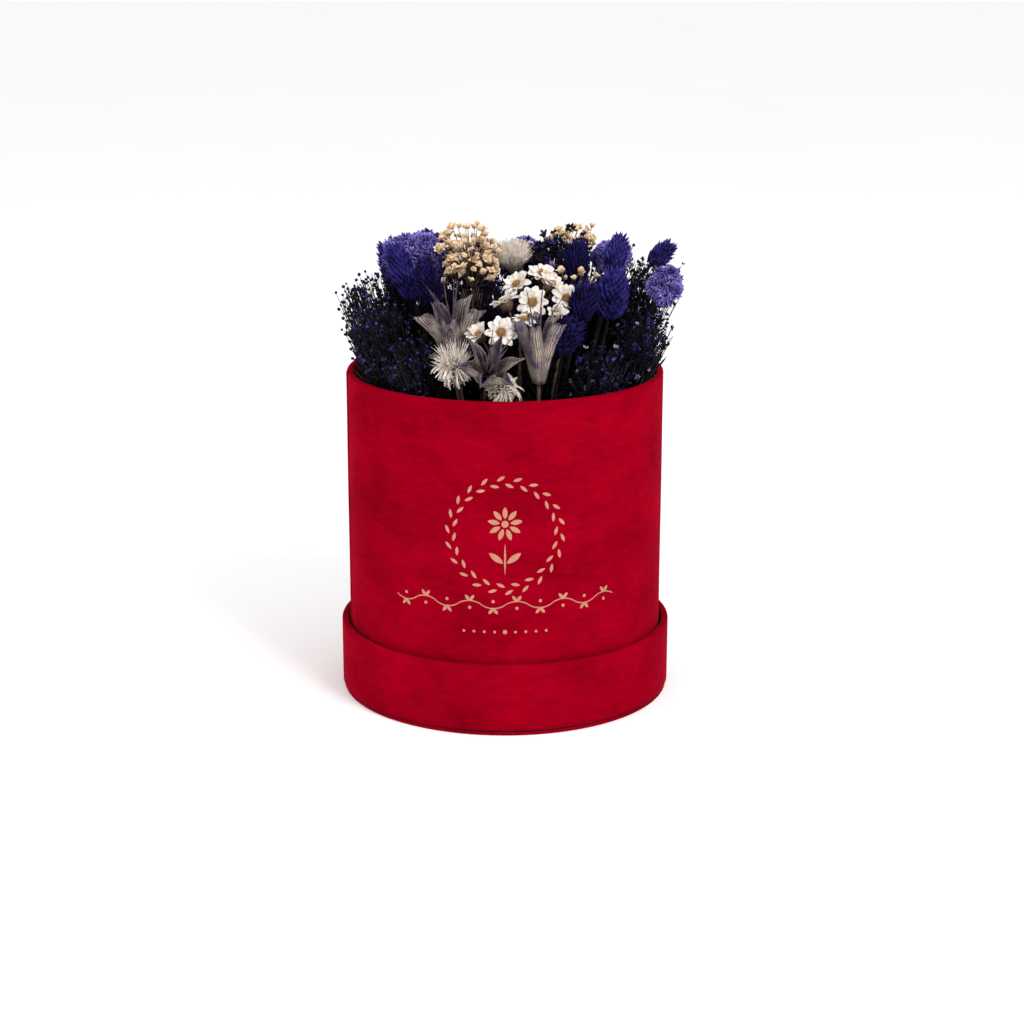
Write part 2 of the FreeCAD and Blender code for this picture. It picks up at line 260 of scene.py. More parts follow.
velvet, tree, shader = new_material("red_velvet", 0.9, 0.0)
pile = fine_noise(tree, 1500, 4)
nap = contrast(tree, fine_noise(tree, 150, 6, stretch=(1, 1, 2.6)), 0.32, 0.68)
brushed = contrast(tree, fine_noise(tree, 30, 5, stretch=(1, 1, 1.5)), 0.3, 0.7)
shade = weighted(tree, brushed, 0.36, -0.02)
shade = weighted(tree, nap, 0.2, shade)
shade = weighted(tree, pile, 0.5, shade)
tint = tinted(tree, shade, (0.1, 0.0, 0.003), (0.35, 0.0002, 0.012))
tree.links.new(tint, shader.inputs["Base Color"])
shader.inputs["Sheen Weight"].default_value = 0.2
shader.inputs["Sheen Roughness"].default_value = 0.28
shader.inputs["Sheen Tint"].default_value = (1.0, 0.09, 0.16, 1)
roughen(tree, shader, pile, 0.25 * MM, 0.6)


def finish_piece(bm, name, materials, body, *nodes, slot=None, smooth=True):
    """Make a mesh object of bm that rides on a body and stands for CAD nodes."""
    mesh = bpy.data.meshes.new(name)
    bm.to_mesh(mesh)
    bm.free()
    for material in materials:
        mesh.materials.append(material)
    if smooth:
        mesh.shade_smooth()
    piece = bpy.data.objects.new(name, mesh)
    bpy.context.collection.objects.link(piece)
    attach(piece, body)
    if nodes:
        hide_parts(*nodes)
    return piece


def spun(outline):
    """A ring of the outline, given as (radius, height) points in order round its section."""
    bm = bmesh.new()
    corners = [bm.verts.new((radius, 0, height)) for radius, height in outline]
    edges = [bm.edges.new((a, b)) for a, b in zip(corners, corners[1:] + corners[:1])]
    bmesh.ops.spin(bm, geom=corners + edges, axis=(0, 0, 1), cent=(0, 0, 0),
                   angle=2 * math.pi, steps=around, use_merge=True)
    bmesh.ops.remove_doubles(bm, verts=bm.verts, dist=1e-7)
    bmesh.ops.recalc_face_normals(bm, faces=bm.faces)
    return bm


def quarter(centre_radius, centre_height, radius, start, steps=5):
    """Points of a rounded corner, anticlockwise from the angle start, in degrees."""
    points = []
    for step in range(steps + 1):
        turn = math.radians(start + 90 * step / steps)
        points.append((centre_radius + radius * math.cos(turn),
                       centre_height + radius * math.sin(turn)))
    return points


def rise(low, high, count):
    """Heights between two levels, so that a long wall has rows of faces."""
    return [low + (high - low) * step / count for step in range(count + 1)]


def folded_cover(outer, inner, bottom, top, turn_in):
    """The section of velvet that covers a wall, folds over its rim and ends inside."""
    wall_outer = outer - velvet_thickness
    wall_inner = inner + velvet_thickness
    outline = [(outer, height) for height in rise(bottom + edge_round, top - rim_round, 12)]
    outline += quarter(outer - rim_round, top - rim_round, rim_round, 0)[1:]
    outline += quarter(inner + rim_round, top - rim_round, rim_round, 90)
    outline += [(inner, top - turn_in + edge_round), (inner + edge_round, top - turn_in)]
    outline += [(wall_inner, top - turn_in), (wall_inner, top - velvet_thickness)]
    outline += [(wall_outer, top - velvet_thickness), (wall_outer, bottom)]
    outline += [(outer - edge_round, bottom)]
    return outline


def lap(bm, outer, bearing):
    """Lift the strip where one end of the velvet lies over the other."""
    edge = math.radians(bearing)
    soft = math.radians(0.18)
    for turn in (edge, edge - soft, edge - 3 * soft, edge - lap_width):
        side = Vector((-math.sin(turn), math.cos(turn), 0))
        bmesh.ops.bisect_plane(bm, geom=bm.verts[:] + bm.edges[:] + bm.faces[:],
                               plane_co=(0, 0, 0), plane_no=side, dist=1e-7)
    for vert in bm.verts:
        turn = math.atan2(vert.co.y, vert.co.x) % (2 * math.pi)
        behind = (edge - turn) % (2 * math.pi)
        if vert.co.xy.length < outer - 2 * edge_round or behind > lap_width + soft:
            continue
        lift = 1 - (behind / lap_width) ** 2
        lift *= min(1, behind / soft) ** 0.5
        vert.co.xy *= 1 + lap_rise * max(0, lift) / outer


def wavy(bm, depth, scale):
    """Make a wall a little uneven, as a hand-made box is; scale is in swells per metre."""
    for vert in bm.verts:
        swell = noise.noise(vert.co * scale) * depth
        vert.co.xy *= 1 + swell / max(vert.co.xy.length, 1 * MM)


def wall_board(node):
    """How thick a ring of board is, from the radii of its CAD mesh."""
    radii = [vert.co.xy.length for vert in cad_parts[node].data.vertices]
    return max(radii) - min(radii)


def velvet_cover(name, node, body, turn_in, bearing, rests_on):
    """A strip of velvet round a wall; bearing is where its ends lap, in degrees from +X."""
    low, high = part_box(node)
    outer = high[1]
    inner = outer - 2 * velvet_thickness - wall_board(rests_on)
    bm = spun(folded_cover(outer, inner, low[2], high[2], turn_in))
    lap(bm, outer, bearing)
    wavy(bm, unevenness, 25)
    piece = finish_piece(bm, name, [velvet], body, node, slot="velvet")


velvet_cover("lid_collar_cover", "lid_collar_velvet", "lid", collar_turn_in, 75,
             "lid_collar_board")
velvet_cover("box_wall_cover", "box_wall_velvet", "box", box_turn_in, 190, "box_wall_board")

low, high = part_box("lid_top_velvet")
outer = high[1]
outline = [(outer - edge_round, low[2])]
outline += quarter(outer - edge_round, low[2] + edge_round, edge_round, 270)[1:]
outline += quarter(outer - edge_round, high[2] - edge_round, edge_round, 0)[:-1]
outline += [(outer - velvet_thickness, high[2]), (outer - velvet_thickness, velvet_thickness)]
outline += [(1 * MM, velvet_thickness), (1 * MM, low[2])]
bm = spun(outline)
rims = [edge for edge in bm.edges if all(vert.co.xy.length < 1.5 * MM for vert in edge.verts)]
bmesh.ops.collapse(bm, edges=rims, uvs=False)
lid_disc = finish_piece(bm, "lid_top_cover", [velvet], "lid", "lid_top_velvet", slot="velvet")
finish_node("box_floor_velvet", velvet)

# The collar's board shows as a dark line in the open joint: painted shade, near-black red up to 3
# mm from its foot.
joint_shade_board, tree, shader = new_material("joint_shade_board", 0.9, 0.1)
height_of = tree.nodes.new("ShaderNodeSeparateXYZ")
tree.links.new(coordinates(tree), height_of.inputs["Vector"])
full_shade_height = 2.6 * MM
shade_fade_height = 3.0 * MM
joint_shade_mask = contrast(tree, height_of.outputs["Z"], full_shade_height, shade_fade_height)
# Painted shade for the joint: near-black red in place of the board's own colour.
joint_shade = placed(tree, pressed_fibres, Dark=(0.012, 0.0, 0.001), Light=(0.03, 0.0, 0.002), Scale=900)
board = placed(tree, pressed_fibres, Dark=board_dark, Light=board_light, Scale=900)
tint = tinted(tree, joint_shade_mask, joint_shade["Colour"], board["Colour"])
tree.links.new(tint, shader.inputs["Base Color"])
roughen(tree, shader, board["Pattern"], 0.05 * MM)
finish_node("lid_collar_board", joint_shade_board)


# ---- Foil print ---------------------------------------------------------------------------
# Rose-gold foil is hot-stamped onto the velvet: a wreath of leaves round a daisy, a leafy vine
# and a row of dots. The pile under it breaks its shine into small flecks.
foil, tree, shader = new_material("rose_gold_foil", 0.42)
flecks = contrast(tree, fine_noise(tree, 2200, 4), 0.3, 0.7)
tint = tinted(tree, flecks, (0.34, 0.13, 0.08), (0.6, 0.29, 0.19))
tree.links.new(tint, shader.inputs["Base Color"])
shader.inputs["Metallic"].default_value = 0.55
roughen(tree, shader, flecks, 0.12 * MM)
for print_node in ("foil_wreath", "foil_sprig", "foil_vine", "foil_dots"):
    finish_node(print_node, foil)


# ---- Foam ---------------------------------------------------------------------------------
# A block of dry floral foam fills the box to 25 mm below the rim. It is brown-black, open and
# crumbly, and every stem is pushed into it.
dry_foam, tree, shader = new_material("dry_foam", 1.0, 0.1)
cells = tree.nodes.new("ShaderNodeTexVoronoi")
cells.inputs["Scale"].default_value = 900
tree.links.new(coordinates(tree), cells.inputs["Vector"])
tint = tinted(tree, cells.outputs["Distance"], (0.02, 0.016, 0.014), (0.06, 0.05, 0.045))
tree.links.new(tint, shader.inputs["Base Color"])
roughen(tree, shader, cells.outputs["Distance"], 0.6 * MM)
finish_node("foam_block", dry_foam)


# ---- Canary grass -------------------------------------------------------------------------
# Pointed oval ears of dyed canary grass. Each is one or two hundred keeled bracts that overlap
# upwards in a spiral round the stalk, with their sharp tips standing out at the edge.
GOLDEN = math.radians(137.508)
foot_depth = 1.5 * MM     # a stem's lowest points lie within this height
stem_spacing = 3 * MM     # the stems of a bunch stand further apart than this
bunch_head = 3.2 * MM     # a flower of a bunch reaches this far from its stem's line
noise.seed_set(13)        # or the wander of the stems would start from the clock


def stems(node):
    """The stems of a CAD flower, each as (direction, distance to foot, distance to tip)."""
    points = [vert.co.copy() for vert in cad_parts[node].data.vertices]
    bottom = min(point.z for point in points)
    feet = []
    for point in points:
        if point.z > bottom + foot_depth:
            continue
        same = [foot for foot in feet if (foot[0] - point).length < stem_spacing]
        if same:
            same[0].append(point)
        else:
            feet.append([point])
    centres = [sum(foot, Vector()) / len(foot) for foot in feet]
    lines = []
    for centre in centres:
        line = centre.normalized()
        own = [point.dot(line) for point in points
               if len(feet) == 1 or point.cross(line).length < bunch_head]
        lines.append((line, centre.length, max(own)))
    return lines


def turned(axis, angle):
    """A turn about an axis by an angle in radians."""
    return Matrix.Rotation(angle, 4, axis)


def facing(point, toward, roll=0.0):
    """A place at the point with its Z axis along toward."""
    turn = Vector(toward).to_track_quat("Z", "Y").to_matrix().to_4x4()
    return Matrix.Translation(point) @ turn @ turned("Z", roll)


def strand(bm, points, radii, sides, roll=0.0):
    """A closed strand along the points, with a radius at each; 0 makes a sharp tip."""
    along = bm.verts.layers.float.get("along") or bm.verts.layers.float.new("along")
    heading = (points[1] - points[0]).normalized()
    ring = bmesh.ops.create_circle(bm, cap_ends=True, segments=sides, radius=radii[0],
                                   matrix=facing(points[0], heading, roll))["verts"]
    edges = list(ring[0].link_faces[0].edges)
    last = len(points) - 1
    for index in range(1, last + 1):
        grown = bmesh.ops.extrude_edge_only(bm, edges=edges)["geom"]
        ring = [item for item in grown if isinstance(item, bmesh.types.BMVert)]
        edges = [item for item in grown if isinstance(item, bmesh.types.BMEdge)]
        ahead = (points[min(index + 1, last)] - points[index - 1]).normalized()
        bend = heading.rotation_difference(ahead).to_matrix().to_4x4()
        heading = ahead
        size = max(radii[index], 1e-6) / max(radii[index - 1], 1e-6)
        move = (Matrix.Translation(points[index]) @ bend @ Matrix.Scale(size, 4)
                @ Matrix.Translation(-points[index - 1]))
        bmesh.ops.transform(bm, matrix=move, verts=ring)
        for vert in ring:
            vert[along] = index / last
    if radii[-1] == 0:
        bmesh.ops.pointmerge(bm, verts=ring, merge_co=points[-1])
    else:
        bmesh.ops.contextual_create(bm, geom=edges)


def small_shape(bm, material=0):
    """Keep a shape made at the origin as a mesh in one material, ready to be copied."""
    bmesh.ops.recalc_face_normals(bm, faces=bm.faces)
    for face in bm.faces:
        face.material_index = material
    mesh = bpy.data.meshes.new("small_shape")
    bm.to_mesh(mesh)
    bm.free()
    return mesh


def small_strand(points, radii, sides, material=0, roll=0.0):
    """A strand along points in millimetres, kept as a small shape."""
    bm = bmesh.new()
    strand(bm, [Vector(point) * MM for point in points], [radius * MM for radius in radii],
           sides, roll)
    return small_shape(bm, material)


def put(bm, shape, places):
    """Add a copy of a small shape at each place."""
    rest = [0.0] * 3 * len(shape.vertices)
    shape.vertices.foreach_get("co", rest)
    for place in places:
        shape.vertices.foreach_set("co", rest)
        shape.transform(place)
        bm.from_mesh(shape)
    shape.vertices.foreach_set("co", rest)


def stalk(bm, direction, foot, head, nod, radius, material, wander=0.0):
    """A stem from its hole in the foam to a head that looks along nod."""
    start = direction * foot
    reach = (head - start).length / 2.6
    points = interpolate_bezier(start, start + direction * reach, head - nod * reach, head, 9)
    for index in range(1, 8):
        points[index] = points[index] + noise.noise_vector(points[index] * 60) * wander
    stem = bmesh.new()
    strand(stem, points, [radius] * 9, 7)
    put(bm, small_shape(stem, material), [Matrix()])


def attribute(tree, name):
    """A number that a mesh carries at its points, such as how far along a bract they are."""
    node = tree.nodes.new("ShaderNodeAttribute")
    node.attribute_name = name
    return node.outputs["Fac"]


# Painted shade: the Shadow colour darkens each bract, petal and strand towards its foot, where it
# sits among the others.
dye_and_shade, given, made = new_group("dye_and_shade", "Dark", "Light", "Shadow")
patches = contrast(dye_and_shade, fine_noise(dye_and_shade, given["Scale"]), 0.35, 0.65)
dye = tinted(dye_and_shade, patches, given["Dark"], given["Light"])
foot_shade = contrast(dye_and_shade, attribute(dye_and_shade, "along"), 0.0, 0.8)
dye_and_shade.links.new(tinted(dye_and_shade, foot_shade, given["Shadow"], dye), made["Colour"])
wrinkle_scale = weighted(dye_and_shade, given["Scale"], 6, 0)
dye_and_shade.links.new(fine_noise(dye_and_shade, wrinkle_scale), made["Pattern"])


def dyed(name, dark, light, shadow, scale, roughness=0.8, specular=0.15):
    """A dyed dried plant with uneven dye, and painted shade that darkens the foot of each bract.
    """
    material, tree, shader = new_material(name, roughness, specular)
    plant = placed(tree, dye_and_shade, Dark=dark, Light=light, Shadow=shadow, Scale=scale)
    tree.links.new(plant["Colour"], shader.inputs["Base Color"])
    roughen(tree, shader, plant["Pattern"], 0.08 * MM)
    return material


navy_grass = dyed("navy_grass", (0.004, 0.0026, 0.022), (0.018, 0.012, 0.1),
                  (0.0015, 0.001, 0.006), 260, specular=0.08)
blue_grass = dyed("blue_grass", (0.009, 0.006, 0.06), (0.045, 0.034, 0.24),
                  (0.002, 0.0015, 0.012), 260, specular=0.08)
dark_stem = dyed("dark_stem", (0.004, 0.003, 0.006), (0.018, 0.01, 0.014),
                 (0.004, 0.003, 0.005), 300)
bract = small_strand([(0, 0, 0), (0, -0.3, 1.8), (0, 0.0, 3.8), (0, 0.7, 6.4)],
                     [0.5, 1.25, 0.9, 0], 3, roll=math.radians(30))


def grass_ear(name, node, shift, lean, length, radius, count, dye):
    """One ear: shift moves its foot off the stem, lean bends its tip over, both in mm."""
    direction, foot, tip = stems(node)[0]
    nod = (direction * length + Vector(lean) * MM).normalized()
    base = direction * (tip - length) + Vector(shift) * MM
    bm = bmesh.new()
    stalk(bm, direction, foot, base + nod * length * 0.3, nod, 0.8 * MM, 1)
    core = bmesh.new()
    strand(core, [base + nod * length * step for step in (0, 0.12, 0.4, 0.75, 0.96)],
           [radius * share for share in (0.3, 0.7, 0.86, 0.6, 0.1)], 9)
    put(bm, small_shape(core), [Matrix()])
    places = []
    for index in range(count):
        height = 0.02 + 0.88 * (index + 0.5) / count
        swell = math.sin(math.pi * (0.1 + 0.82 * height) ** 0.85)
        open_out = math.radians(23 - 15 * height) + random.uniform(-0.14, 0.14)
        places.append(facing(base, nod) @ turned("Z", index * GOLDEN)
                      @ Matrix.Translation((0, radius * 0.8 * swell, height * length - 1.5 * MM))
                      @ turned("X", -open_out)
                      @ turned("Z", random.uniform(-0.15, 0.15))
                      @ Matrix.Scale(random.uniform(0.8, 1.08) * min(1, radius / (6.4 * MM)), 4))
    put(bm, bract, places)
    finish_piece(bm, name, [dye, dark_stem], "box", node, slot="canary_grass", smooth=False)


random.seed(11)
ears = [
    # shift of the foot, lean of the tip, length, radius in mm, number of bracts, dye
    ((3, 0, -4), (-4, 0, 0), 28, 5.6, 180, blue_grass),
    ((4, 0, 11), (-1, -4, 0), 22, 5.4, 140, navy_grass),
    ((-1, 0, 0), (-1, -2, 0), 32, 6.0, 190, navy_grass),
    ((1, -2, -1), (-3, -4, 0), 23, 7.4, 150, blue_grass),
    ((-2, -5, 2), (1, -2, 0), 21, 5.8, 120, navy_grass),
    ((-5, -4, 1), (9, -6, 0), 18, 7.4, 110, navy_grass),
    ((-1, -18, 1), (0, 2, 0), 17, 5.0, 110, blue_grass),
    ((-2, 0, 0), (7, 0, -2), 14, 4.6, 90, blue_grass),
    ((0, 0, 0), (2, 3, 0), 28, 6.2, 180, navy_grass),
    ((0, 0, 0), (-3, 3, 0), 32, 6.6, 200, blue_grass),
]
for number, (shift, lean, length, radius, count, dye) in enumerate(ears, 1):
    grass_ear(f"grass_ear_{number}", f"canary_grass_{number}", shift, lean, length * MM,
              radius * MM, count, dye)


# ---- Lilac heads --------------------------------------------------------------------------
# Spongy violet heads, dyed and dried: a lumpy crown packed with short curled florets, pale at
# their tips, with painted shade dark between them and a few sunken eyes.
lilac = dyed("lilac_floret", (0.045, 0.033, 0.17), (0.33, 0.265, 0.74), (0.01, 0.006, 0.05), 160,
             0.9, 0.05)
lilac_floret = small_strand([(0, 0, -0.6), (0, 0.1, 0.4), (0, 0.45, 0.9), (0, 0.75, 1.1)],
                            [0.34, 0.4, 0.36, 0.14], 4)


def on_dome(count, spread=0.78):
    """Directions spread evenly over a dome round the Z axis."""
    for index in range(count):
        height = 1 - (1 + spread) * (index + 0.5) / count
        turn = index * GOLDEN
        out = math.sqrt(1 - height * height)
        yield Vector((out * math.cos(turn), out * math.sin(turn), height))


def stretched(point, size):
    """The point with each of its coordinates times that of the size."""
    return Vector((point.x * size.x, point.y * size.y, point.z * size.z))


def lilac_head(name, node, shift, nod, size, eyes, count):
    """A head of that size (across, deep, tall) in mm; eyes are directions of the dimples."""
    direction, foot, tip = stems(node)[0]
    nod = Vector(nod).normalized()
    size = Vector(size) * 0.5 * MM
    middle = direction * (tip - size.z) + Vector(shift) * MM
    seat = facing(middle, nod)

    def crown(point):
        lump = (1 + 0.3 * noise.noise(point * 2.2 + middle * 90)
                + 0.16 * noise.noise(point * 6 + middle * 50))
        for eye in eyes:
            gap = (point - Vector(eye).normalized()).length
            lump -= 0.34 * math.exp(-(gap / 0.2) ** 2)
        return stretched(point, size) * lump

    bm = bmesh.new()
    stalk(bm, direction, foot, middle - nod * size.z * 0.4, nod, 1.1 * MM, 1)
    # The crown carries no along value, so it takes the Shadow colour all over: a dark body painted
    # as shade between the florets.
    ball = bmesh.new()
    for vert in bmesh.ops.create_icosphere(ball, subdivisions=3, radius=1)["verts"]:
        vert.co = seat @ (crown(vert.co.normalized()) * 0.9)
    put(bm, small_shape(ball), [Matrix()])
    places = []
    for point in on_dome(count):
        place = facing(seat @ (crown(point) * 0.93), seat.to_3x3() @ point,
                       random.uniform(0, 6.3))
        lean = turned("X", random.uniform(-1.1, 1.1))
        places.append(place @ lean @ Matrix.Scale(random.uniform(0.75, 1.3), 4))
    put(bm, lilac_floret, places)
    finish_piece(bm, name, [lilac, dark_stem], "box", node, slot="lilac_head", smooth=False)


random.seed(12)
lilac_head("lilac_crown_1", "lilac_head_1", (0, 0, 0), (-0.1, -0.35, 1), (32, 27, 20),
           [(0.2, -0.75, 0.6), (-0.5, -0.5, 0.5), (0.7, -0.6, 0.3)], 2600)
lilac_head("lilac_crown_2", "lilac_head_2", (-3, 10, 5), (0.1, -0.5, 1), (17, 14, 15),
           [(0, -0.6, 0.7), (0.6, -0.4, 0.3)], 1300)
lilac_head("lilac_crown_3", "lilac_head_3", (0, 0, 0), (0.55, -0.6, 0.9), (13, 15, 19),
           [(-0.1, -0.9, 0.35), (0.3, -0.3, 0.9), (-0.6, 0.3, 0.5)], 1300)
lilac_head("lilac_crown_4", "lilac_head_4", (0, 0, 0), (0.1, 0.5, 1), (27, 24, 19),
           [(-0.2, 0.5, 0.8), (0.5, 0.5, 0.4)], 2200)


# ---- Nigella pods -------------------------------------------------------------------------
# Dried seed pods: five or six folded, veined fins joined at their foot flare out to arched
# shoulders and sharp tips, with long thin styles standing up between them.
pod_skin, tree, shader = new_material("pod_skin", 0.75, 0.2)
crooked = weighted(tree, fine_noise(tree, 260), 0.22, attribute(tree, "across"))
ribs = tree.nodes.new("ShaderNodeMath")
ribs.operation = "PINGPONG"
tree.links.new(crooked, ribs.inputs[0])
ribs.inputs[1].default_value = 0.05
rib_mask = contrast(tree, ribs.outputs[0], 0.004, 0.02)
patches = contrast(tree, fine_noise(tree, 150, 6), 0.38, 0.62)
rib_tint = tinted(tree, patches, (0.025, 0.017, 0.04), (0.1, 0.07, 0.085))
skin_tint = tinted(tree, patches, (0.11, 0.085, 0.115), (0.42, 0.34, 0.27))
veined = tinted(tree, rib_mask, rib_tint, skin_tint)
shoulder = contrast(tree, attribute(tree, "along"), 0.8, 1.25)
tint = tinted(tree, shoulder, veined, (0.045, 0.03, 0.07))
tree.links.new(tint, shader.inputs["Base Color"])
roughen(tree, shader, rib_mask, 0.7 * MM)
style_brown = dyed("style_brown", (0.03, 0.02, 0.035), (0.12, 0.085, 0.11),
                   (0.05, 0.035, 0.05), 300)
tan_stem = dyed("tan_stem", (0.05, 0.032, 0.026), (0.15, 0.1, 0.07), (0.04, 0.025, 0.02), 300)


def fin(radius, height, flare, lobes):
    """One fin of a pod, its keel outwards along +X, as a small shape."""
    bm = bmesh.new()
    along = bm.verts.layers.float.new("along")
    across = bm.verts.layers.float.new("across")
    grid = bmesh.ops.create_grid(bm, x_segments=12, y_segments=9, size=1)["verts"]
    for vert in grid:
        side = vert.co.x
        inward = abs(side)
        up = (vert.co.y + 1) / 2
        point = max(0, 1 - inward / 0.2) * up ** 6
        keel = radius * (0.26 + 0.42 * up ** 0.8 + flare * up ** 3 + 0.12 * point)
        suture = radius * (0.12 + 0.16 * up)
        out = keel + (suture - keel) * inward ** 0.9
        top = 0.86 * (1 - inward) + 0.66 * inward + 0.2 * math.sin(math.pi * inward)
        half = inward ** 0.7 * suture * math.tan(math.pi / lobes) * (1.3 - 0.2 * up)
        half += 0.13 * radius * math.sin(math.pi * inward) * (0.3 + math.sin(math.pi * up))
        vert.co = (out, math.copysign(half, side), height * (top * up + 0.12 * point))
        vert[along] = up
        vert[across] = side
    bmesh.ops.recalc_face_normals(bm, faces=bm.faces)
    bmesh.ops.solidify(bm, geom=bm.faces[:], thickness=0.35 * MM)
    return small_shape(bm)


def nigella_pod(name, node, base_below, nod, radius, height, flare, styles, lobes=5):
    """A pod that starts base_below its CAD solid's tip; sizes are in mm."""
    direction, foot, tip = stems(node)[0]
    nod = Vector(nod).normalized()
    base = direction * (tip - base_below * MM)
    seat = facing(base, nod, random.uniform(0, 1))
    bm = bmesh.new()
    stalk(bm, direction, foot, base + nod * MM, nod, 0.9 * MM, 2)
    for index in range(lobes):
        turn = 2 * math.pi * index / lobes
        shape = fin(radius * MM * random.uniform(0.9, 1.08), height * MM,
                    flare * random.uniform(0.8, 1.15), lobes)
        put(bm, shape, [seat @ turned("Z", turn)])
    for index in range(styles):
        turn = 2 * math.pi * (index + 0.5) / styles + random.uniform(-0.2, 0.2)
        splay = random.uniform(0.12, 0.4)
        length = random.uniform(16, 21)
        shape = small_strand([(1.6, 0, 0.5 * height), (2.2, 0, 0.75 * height),
                              (2.6 + splay * length * 0.5, 0.4, 0.8 * height + 0.5 * length),
                              (2.6 + splay * length * 1.3, 0, 0.8 * height + length)],
                             [0.7, 0.55, 0.32, 0.16], 5, 1)
        put(bm, shape, [seat @ turned("Z", turn)])
    finish_piece(bm, name, [pod_skin, style_brown, tan_stem], "box", node, slot="nigella_pod")


random.seed(14)
nigella_pod("nigella_flower_1", "nigella_pod_1", 27, (-0.12, -0.25, 1), 15.0, 25, 0.36, 5)
nigella_pod("nigella_flower_2", "nigella_pod_2", 21, (0.12, -0.75, 0.75), 13.5, 18, 0.42, 6, 6)
nigella_pod("nigella_flower_3", "nigella_pod_3", 26, (0.0, -0.1, 1), 12.0, 30, 0.3, 4)
nigella_pod("nigella_flower_4", "nigella_pod_4", 24, (-0.1, 0.3, 1), 14.0, 24, 0.36, 5)


# ---- Bristle heads ------------------------------------------------------------------------
# Bleached everlastings. Two are brushes of fine straight hairs. The others have a woolly middle
# with flat straps that curl away from it, and one of them has hairs as well.
def blade(bm, length, width, outline, cup=0.0, curl=0.0, across=2, rows=4, thickness=0.12):
    """A petal or leaf, sizes in mm, that starts at the origin and runs along +Y.

    outline(share) is its half width along its length, cup lifts its edges and curl is the
    angle that it bends through, upwards.
    """
    along = bm.verts.layers.float.get("along") or bm.verts.layers.float.new("along")
    for vert in bmesh.ops.create_grid(bm, x_segments=across, y_segments=rows, size=1)["verts"]:
        side = vert.co.x
        share = (vert.co.y + 1) / 2
        half = width / 2 * outline(share)
        bend = curl * share
        run = length * (math.sin(bend) / curl if curl else share)
        lift = length * ((1 - math.cos(bend)) / curl if curl else 0)
        vert.co = Vector((side * half, run, lift + cup * half * side * side)) * MM
        vert[along] = share
    bmesh.ops.recalc_face_normals(bm, faces=bm.faces)
    bmesh.ops.solidify(bm, geom=bm.faces[:], thickness=thickness * MM)


def small_blade(*sizes, material=0, **more):
    """A blade kept as a small shape."""
    bm = bmesh.new()
    blade(bm, *sizes, **more)
    return small_shape(bm, material)


bleached = dyed("bleached_bristle", (0.52, 0.43, 0.36), (0.85, 0.78, 0.71), (0.36, 0.27, 0.21),
                500, 0.6, 0.2)
hair = small_strand([(0, 0, 0), (0, 0.1, 5), (0, 0.9, 10), (0, 2.2, 15)],
                    [0.2, 0.17, 0.13, 0.05], 3)
strap = small_blade(11.0, 0.75, lambda share: 0.75 + 0.25 * share, curl=1.6, rows=5,
                    thickness=0.14)
wool = small_strand([(0, 0, 0), (0, 0.4, 2), (0, 1.2, 3.4)], [0.3, 0.3, 0.1], 3)


def bristle_head(name, node, shift, nod, size, hairs, hair_spread, straps, core):
    """A head with hairs along nod, and straps toward the given bearings round nod.

    straps is a list of (count, bearing from, bearing to, tilt) with angles in degrees, and
    core is the radius of the woolly middle in mm.
    """
    direction, foot, tip = stems(node)[0]
    nod = Vector(nod).normalized()
    base = direction * (tip - 14 * MM) + Vector(shift) * MM
    seat = facing(base, nod) @ Matrix.Scale(size, 4)
    bm = bmesh.new()
    stalk(bm, direction, foot, base, nod, 0.9 * MM, 1)
    places = []
    for index in range(hairs):
        out = hair_spread * math.sqrt((index + 0.5) / max(hairs, 1))
        places.append(seat @ turned("Z", index * GOLDEN)
                      @ turned("X", -out)
                      @ turned("Z", random.uniform(0, 6))
                      @ Matrix.Scale(random.uniform(0.85, 1.1), 4))
    put(bm, hair, places)
    places = []
    for count, low, high, tilt in straps:
        for _ in range(count):
            turn = math.radians(random.uniform(low, high))
            up = math.radians(tilt + random.uniform(-42, 38))
            places.append(seat @ Matrix.Translation((0, 0, core * 0.4 * MM))
                          @ turned("Z", turn)
                          @ turned("X", up) @ turned("Y", math.pi)
                          @ turned("Y", random.uniform(-0.5, 0.5))
                          @ Matrix.Scale(random.uniform(0.65, 1.2), 4))
    put(bm, strap, places)
    if core:
        places = []
        for point in on_dome(420, 0.5):
            spot = seat @ (Vector((point.x * 0.8, point.y * 0.8, point.z)) * core * 0.6 * MM)
            toward = seat.to_3x3() @ (point + Vector((0, 0, 0.8)))
            places.append(facing(spot, toward, random.uniform(0, 6)))
        put(bm, wool, places)
    finish_piece(bm, name, [bleached, tan_stem], "box", node, slot="bristle_head")


random.seed(15)
bristle_head("bristle_flower_1", "bristle_head_1", (0, 0, -2), (-0.05, -0.3, 1), 1.1, 900, 0.62,
             [], 0)
bristle_head("bristle_flower_2", "bristle_head_2", (-1, 2, 1), (-0.1, -0.5, 0.9), 0.95, 200, 0.75,
             [(60, 10, 170, 12), (30, 150, 250, 0)], 10)
bristle_head("bristle_flower_3", "bristle_head_3", (-3, 2, 4), (0.3, -0.7, 0.6), 1.05, 0, 0,
             [(80, 140, 300, -5)], 8)
bristle_head("bristle_flower_4", "bristle_head_4", (2, 4, -8), (0.2, 0.4, 1), 1.0, 700, 0.66,
             [], 0)


